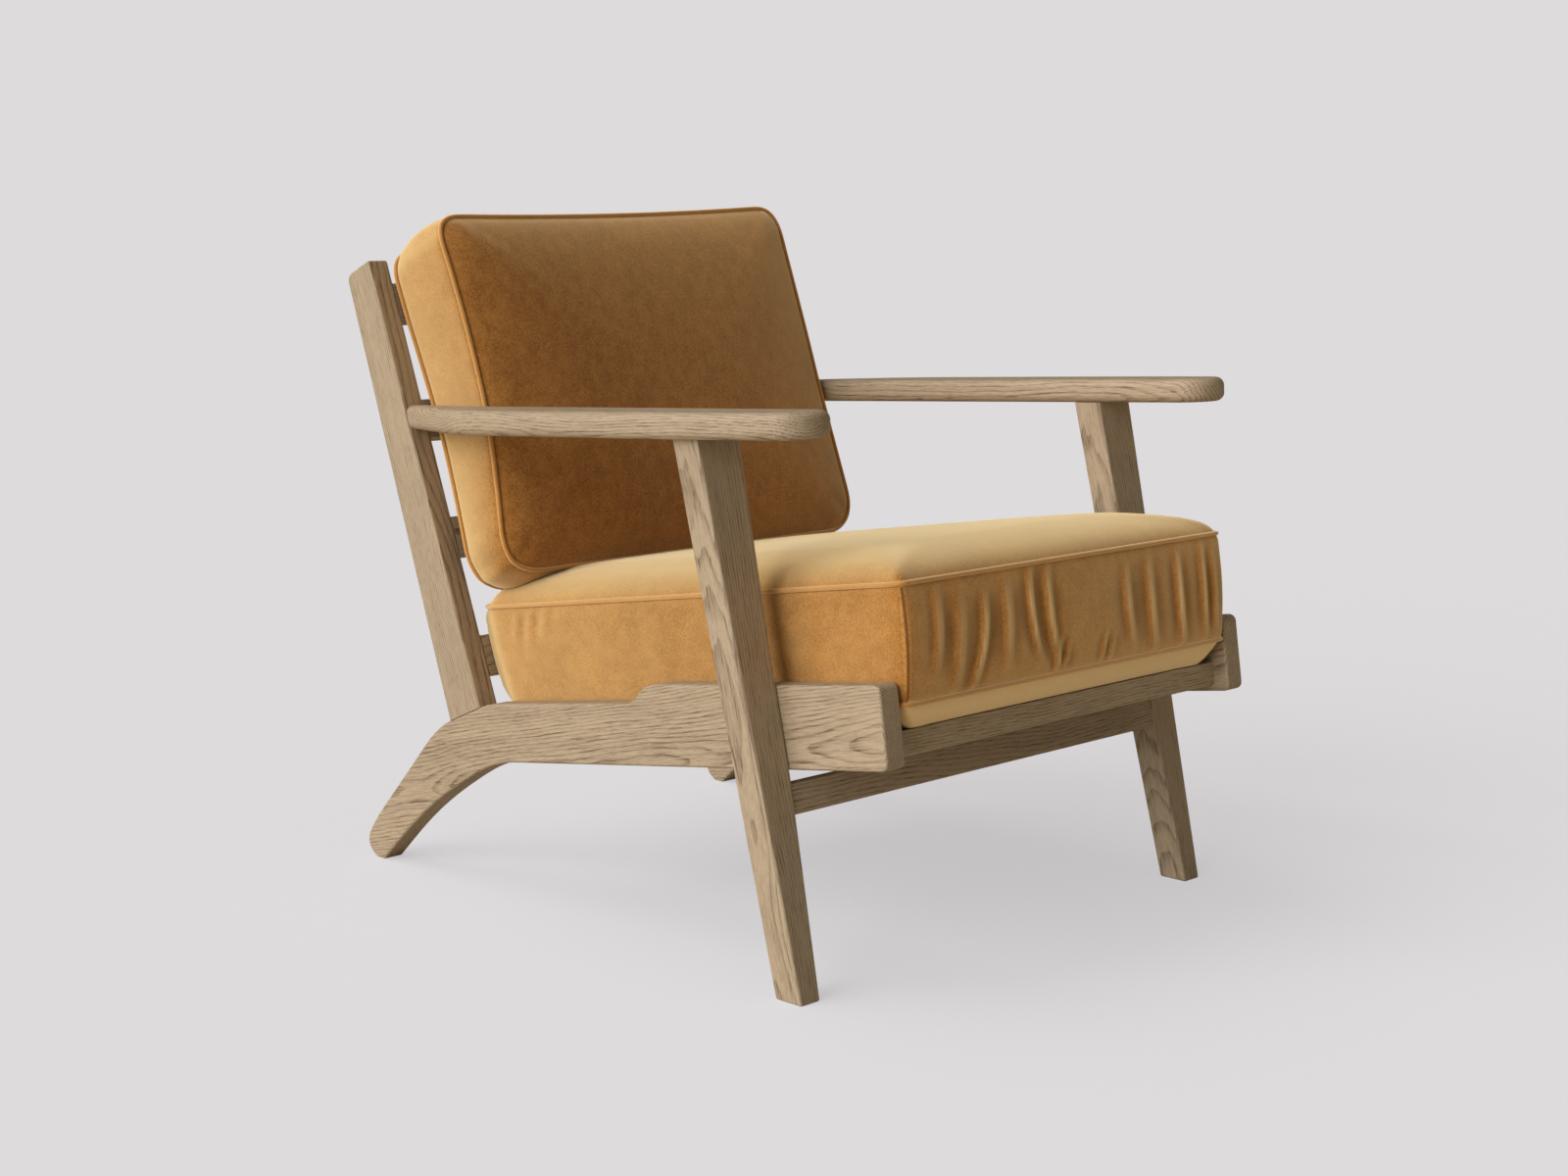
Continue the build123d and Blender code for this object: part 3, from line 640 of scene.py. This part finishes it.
def steel_group():
    """Zinc-plated steel: bright and dull patches, and fine turning marks."""
    group, w, given, gives = node_group(
        "plated_steel", (("Vector", "VECTOR"),), (("Color", "COLOR"), ("Roughness", "FLOAT"), ("Height", "FLOAT")),
    )
    patch = w.noise(given["Vector"], 240.0, 3.0, 0.6)
    marks = w.noise(w.stretch(given["Vector"], (2600, 260, 260)), 1.0, 2.0, 0.5)
    w.give(gives["Color"], w.mix(patch, (0.50, 0.50, 0.49, 1), (0.34, 0.34, 0.33, 1)))
    w.give(gives["Roughness"], w.remap(patch, 0.3, 0.7, 0.26, 0.44))
    w.give(gives["Height"], marks)
    return group


OAK, VELVET, STEEL = oak_group(), velvet_group(), steel_group()


def finish_material(name, group, rotation=(0, 0, 0), shift=(0, 0, 0), bump=0.1, distance=0.001, **values):
    """A Principled material fed by one of the groups, on Object coordinates turned and shifted by a Mapping node."""
    material = bpy.data.materials.new(name)
    material.use_nodes = True
    w = Wiring(material.node_tree)
    shader = material.node_tree.nodes["Principled BSDF"]
    coordinates = w.node("ShaderNodeTexCoord")
    place = w.stretch(coordinates.outputs["Object"], (1, 1, 1), shift, rotation)
    pattern = w.node("ShaderNodeGroup", node_tree=group)
    w.give(pattern.inputs["Vector"], place)
    for key, value in values.items():
        w.give(pattern.inputs[key], value)
    w.give(shader.inputs["Base Color"], pattern.outputs["Color"])
    w.give(shader.inputs["Roughness"], pattern.outputs["Roughness"])
    relief = w.node("ShaderNodeBump")
    relief.inputs["Strength"].default_value = bump
    relief.inputs["Distance"].default_value = distance
    w.give(relief.inputs["Height"], pattern.outputs["Height"])
    w.give(shader.inputs["Normal"], relief.outputs["Normal"])
    return material, shader


OAK_LIGHT = (0.410, 0.316, 0.214, 1)
OAK_DARK = (0.135, 0.088, 0.048, 1)


def oak(name, rotation, shift, figure=1.0, light=OAK_LIGHT, dark=OAK_DARK):
    material, shader = finish_material(
        name, OAK, rotation, shift, 0.35, 0.0006, Light=light, Dark=dark, Figure=figure,
    )
    shader.inputs["Specular IOR Level"].default_value = 0.35
    return material


def corner_seam_shade(w, colour):
    """Paint shade into the sunk line of the upright seam at each front corner of the seat cushion's band."""
    coordinates = w.node("ShaderNodeTexCoord")
    across, back, up = w.parts(coordinates.outputs["Object"])
    off = w.math("ABSOLUTE", w.math("SUBTRACT", w.math("ABSOLUTE", across), SEAT_HALF - 0.0030))
    line = w.remap(off, 0.0006, 0.0017, 1.0, 0.0)
    front = w.math("LESS_THAN", back, SEAT_TOP_FRONT[0] + 0.003)
    under = w.math("LESS_THAN", up, SEAT_TOP_FRONT[1] - 0.004)
    over = w.math("GREATER_THAN", up, SEAT_LOW_FRONT[1] + 0.002)
    line = w.math("MULTIPLY", w.math("MULTIPLY", line, front), w.math("MULTIPLY", under, over))
    return w.mix(w.math("MULTIPLY", line, 0.75), colour, (0.09, 0.032, 0.007, 1))


def velvet(name, light, dark, painted_sheen, sheen=0.6, painted_light_and_shade=False):
    material, shader = finish_material(name, VELVET, bump=0.30, distance=0.0008, Light=light, Dark=dark)
    w = Wiring(material.node_tree)
    base = shader.inputs["Base Color"].links[0].from_socket
    # Painted sheen: where the surface is seen edge-on, the base colour is mixed up to 0.8 of the way to a pale tint.
    facing = w.node("ShaderNodeLayerWeight")
    facing.inputs["Blend"].default_value = 0.5
    painted_sheen_share = w.remap(facing.outputs["Facing"], 0.24, 1.0, 0.0, 0.80, "LINEAR")
    colour = w.mix(painted_sheen_share, base, painted_sheen)
    if painted_light_and_shade:
        # Painted light and shade on the seat's band: painted highlight on the fold ridges and over the lower panel,
        # painted shade between the folds and in the corner seams.
        painted_fold_light = w.node("ShaderNodeAttribute")
        painted_fold_light.attribute_name = "painted_fold_light"
        fold_light_share = painted_fold_light.outputs["Fac"]
        colour = w.mix(w.remap(fold_light_share, 0.05, 0.9, 0.0, 0.80), colour, PAINTED_LIGHT_TONE)
        colour = w.mix(w.remap(fold_light_share, -0.45, 0.0, 0.55, 0.0), colour, PAINTED_FOLD_SHADE)
        colour = corner_seam_shade(w, colour)
    w.give(shader.inputs["Base Color"], colour)
    shader.inputs["Specular IOR Level"].default_value = 0.12
    shader.inputs["Sheen Weight"].default_value = sheen
    shader.inputs["Sheen Roughness"].default_value = 0.45
    shader.inputs["Sheen Tint"].default_value = (1.0, 0.88, 0.62, 1)
    return material


def upright(lean):
    """Turn of a board in the (Y, Z) plane whose grain leans back from up by an angle, so that it runs along x."""
    return (-(pi / 2 - lean), 0, -pi / 2)


def lengthwise(drop):
    """The same for a board whose grain runs back, dropping by an angle."""
    return (drop, 0, -pi / 2)


def dress(node, material):
    """Give every slot of a CAD node's object the material."""
    piece = NODES[node]
    for slot in piece.material_slots:
        slot.material = material


def dress_frame():
    """Each board has its own cut of the oak: the way its grain runs, and where the heart of the tree lay."""
    boards = (
        ("side_rail_left", lengthwise(SEAT_TILT + 0.07), (0.30, -0.335, -0.170), 0.80),
        ("side_rail_right", lengthwise(SEAT_TILT + 0.07), (1.10, 0.340, -0.165), 0.80),
        ("front_leg_left", upright(LEG_RAKE), (0.70, -0.280, -0.325), 0.75),
        ("front_leg_right", upright(LEG_RAKE), (2.10, 0.370, -0.325), 0.75),
        ("armrest_left", lengthwise(ARM_TILT), (3.30, -0.345, -0.600), 0.8),
        ("armrest_right", lengthwise(ARM_TILT), (4.20, 0.350, -0.590), 0.8),
        ("back_post_left", upright(BACK_LEAN), (5.40, -0.350, -0.060), 0.9),
        ("back_post_right", upright(BACK_LEAN), (6.10, 0.352, -0.080), 0.9),
        ("front_seat_rail", (SEAT_TILT, 0, 0), (7.2, 0.45, -0.31), 0.7),
        ("rear_seat_rail", (SEAT_TILT, 0, 0), (8.3, -0.10, -0.26), 0.7),
        ("front_stretcher", (-LEG_RAKE, 0, 0), (9.4, 0.33, -0.24), 0.8),
        ("seat_cleat_left", lengthwise(SEAT_TILT), (10.3, -0.30, -0.25), 0.7),
        ("seat_cleat_right", lengthwise(SEAT_TILT), (11.3, 0.30, -0.25), 0.7),
    )
    for node, rotation, shift, figure in boards:
        dress(node, oak("oak_" + node, rotation, shift, figure))
    for number in range(1, 5):
        shift = (12.0 + 1.7 * number, -0.30 - 0.05 * number, -0.62 + 0.13 * number)
        dress(f"back_slat_{number}", oak(f"oak_back_slat_{number}", (-BACK_LEAN, 0, 0), shift, 0.9))
    for number in range(1, 7):
        shift = (20.0 + 1.3 * number, 0.30 - 0.085 * number, -0.20)
        dress(f"seat_slat_{number}", oak(f"oak_seat_slat_{number}", (SEAT_TILT, 0, 0), shift, 0.7))
    beech = oak("dowel_wood", (0, 0, 0), (30, 0.2, 0.2), 0.3, (0.52, 0.38, 0.24, 1), (0.34, 0.22, 0.12, 1))
    metal, shader = finish_material("plated_steel", STEEL, distance=0.0002)
    shader.inputs["Metallic"].default_value = 1.0
    for node in (
        "arm_leg_dowels", "arm_post_dowels", "post_rail_dowels", "back_slat_dowels", "stretcher_dowels",
        "seat_rail_dowels",
    ):
        dress(node, beech)
    for node in ("leg_bolts", "leg_washers", "leg_inserts", "cleat_screws", "seat_slat_screws"):
        dress(node, metal)


PAINTED_SHEEN_TINT = (0.94, 0.71, 0.34, 1)           # painted sheen colours, mixed in where the pile is seen edge-on, on the covers and on the back's front panel
PANEL_PAINTED_SHEEN_TINT = (0.86, 0.58, 0.27, 1)
PAINTED_LIGHT_TONE = (0.96, 0.69, 0.37, 1)           # painted highlight on the ridges of the folds and painted light on the lower panel; painted shade between the folds
PAINTED_FOLD_SHADE = (0.150, 0.056, 0.010, 1)
# One cloth covers everything, but its colours are set apart to suit this studio's light as painted light and shade:
# the back's front panel a little darker for painted shade, the seat's front band and underside lighter than the rest
# for painted light.
SHADE_PAINTED_PANEL_LIGHT = (0.470, 0.212, 0.050, 1)
SHADE_PAINTED_PANEL_DARK = (0.195, 0.068, 0.011, 1)
LIGHT_PAINTED_BAND_LIGHT = (0.600, 0.290, 0.080, 1)
LIGHT_PAINTED_BAND_DARK = (0.310, 0.122, 0.024, 1)
VELVET_LIGHT = (0.480, 0.230, 0.058, 1)
VELVET_DARK = (0.225, 0.086, 0.015, 1)


def make_cushions():
    # Painted light and shade: the band's material is a lighter copy of the cloth, the back panel's a darker one.
    cover = velvet("velvet_cover", VELVET_LIGHT, VELVET_DARK, PAINTED_SHEEN_TINT)
    band = velvet("velvet_band_painted_light", LIGHT_PAINTED_BAND_LIGHT, LIGHT_PAINTED_BAND_DARK, PAINTED_SHEEN_TINT, painted_light_and_shade=True)
    panel = velvet("velvet_back_panel_painted_shade", SHADE_PAINTED_PANEL_LIGHT, SHADE_PAINTED_PANEL_DARK, PANEL_PAINTED_SHEEN_TINT)
    cord = velvet("velvet_piping", (0.54, 0.26, 0.07, 1), (0.42, 0.19, 0.045, 1), PANEL_PAINTED_SHEEN_TINT, 0.8)

    seat, seams = boxed_cushion("seat_cushion", 104, 84, 17, seat_upper, seat_lower, seat_bulge, seat_fold_light)
    back, back_seams = boxed_cushion("back_cushion", 84, 62, 15, back_upper, back_lower, back_bulge, no_fold_light)
    seat_centre = read_points(seat).mean(0)
    back_centre = read_points(back).mean(0)
    loops = [read_points(seat)[seams[which]] for which in ("upper", "lower")]
    back_loops = [read_points(back)[back_seams[which]] for which in ("upper", "lower")]
    settle(seat, SEAT_SPARE_CLOTH)
    settle(back, 0.0)
    for piece, lines in ((seat, loops), (back, back_loops)):
        subdivide_once(piece)
        seam_valleys(piece, lines)
    write_points(seat, keep_seat_clear(read_points(seat)))
    bpy.context.view_layer.update()
    write_points(back, rest_on(keep_back_clear(read_points(back)), seat, CUSHION_GAP))

    cords = [
        ("seat_piping_upper", loops[0], seat_centre, "seat_cushion"),
        ("seat_piping_lower", loops[1], seat_centre, "seat_cushion"),
        ("back_piping_front", back_loops[0], back_centre, "back_cushion"),
        ("back_piping_rear", back_loops[1], back_centre, "back_cushion"),
    ]
    for name, loop, centre, body in cords:
        tube = piping(name, loop, centre)
        tube.data.materials.append(cord)
        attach(tube, body)
    for piece, body, covers, fill in (
        (seat, "seat_cushion", (cover, cover, band, band), 0.8),
        (back, "back_cushion", (panel, cover, cover, cover), 0.75),
    ):
        for material in covers:
            piece.data.materials.append(material)
        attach(piece, body)
        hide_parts(body + "_cover", body + "_core")


# Studio


def make_studio():
    """Camera rays see a grey background and a grey floor that partly glows, which keeps its shadow soft. All other
    rays meet a warm fill and a warmer, brighter floor, which are there to colour the light on the chair."""
    scene = bpy.context.scene
    scene.view_settings.view_transform = "Standard"
    world = bpy.data.worlds.new("studio")
    scene.world = world
    world.use_nodes = True
    w = Wiring(world.node_tree)
    world.node_tree.nodes.clear()
    path = w.node("ShaderNodeLightPath")
    seen, fill = w.node("ShaderNodeBackground"), w.node("ShaderNodeBackground")
    seen.inputs["Color"].default_value = (0.723, 0.708, 0.716, 1)
    fill.inputs["Color"].default_value = (1.0, 0.87, 0.67, 1)
    fill.inputs["Strength"].default_value = 0.21
    both = w.node("ShaderNodeMixShader")
    w.give(both.inputs[0], path.outputs["Is Camera Ray"])
    w.give(both.inputs[1], fill.outputs[0])
    w.give(both.inputs[2], seen.outputs[0])
    out = w.node("ShaderNodeOutputWorld")
    w.give(out.inputs[0], both.outputs[0])

    def sun(name, strength, azimuth, elevation, angle, colour):
        """A soft sun. Azimuth is where it stands, counter-clockwise from +X as seen from above."""
        light = bpy.data.lights.new(name, "SUN")
        light.energy, light.angle, light.color = strength, radians(angle), colour
        holder = bpy.data.objects.new(name, light)
        holder.rotation_euler = (0, radians(90 - elevation), radians(azimuth))
        scene.collection.objects.link(holder)

    sun("key", 3.7, 174, 18, 60, (1.0, 0.995, 0.985))
    sun("top", 1.0, 125, 62, 40, (1.0, 0.99, 0.97))

    around = np.linspace(0, 2 * pi, 97)[:-1]
    radii = np.array([0.0, 1.0, 3.0, 9.0, 27.0, 80.0])
    disc = radii[:, None, None] * np.stack([np.cos(around), np.sin(around), 0 * around], -1)[None]
    index = np.arange(len(radii) * len(around)).reshape(len(radii), len(around))
    floor = mesh_piece("floor", disc, grid_faces(index, closed=True))
    paper = bpy.data.materials.new("paper_floor")
    paper.use_nodes = True
    wf = Wiring(paper.node_tree)
    shader = paper.node_tree.nodes["Principled BSDF"]
    coordinates = wf.node("ShaderNodeTexCoord")
    speck = wf.noise(coordinates.outputs["Object"], 40.0, 2.0)
    seen_tone = wf.mix(speck, (0.257, 0.254, 0.259, 1), (0.263, 0.260, 0.265, 1))
    path = wf.node("ShaderNodeLightPath")
    wf.give(shader.inputs["Base Color"], wf.mix(path.outputs["Is Camera Ray"], (0.56, 0.50, 0.39, 1), seen_tone))
    shader.inputs["Roughness"].default_value = 1.0
    shader.inputs["Specular IOR Level"].default_value = 0.0
    shader.inputs["Emission Color"].default_value = (0.4990, 0.4930, 0.5120, 1)
    wf.give(shader.inputs["Emission Strength"], path.outputs["Is Camera Ray"])
    floor.data.materials.append(paper)

    camera = bpy.data.cameras.new("camera")
    camera.lens, camera.sensor_width = 56.05, 36.0
    camera.clip_end = 500.0
    holder = bpy.data.objects.new("camera", camera)
    holder.location = (-2.0083, -2.0060, 0.7914)
    holder.rotation_euler = (radians(90 - 8.9), 0, radians(-45))
    scene.collection.objects.link(holder)
    scene.camera = holder


dress_frame()
make_cushions()
make_studio()

bpy.context.view_layer.update()
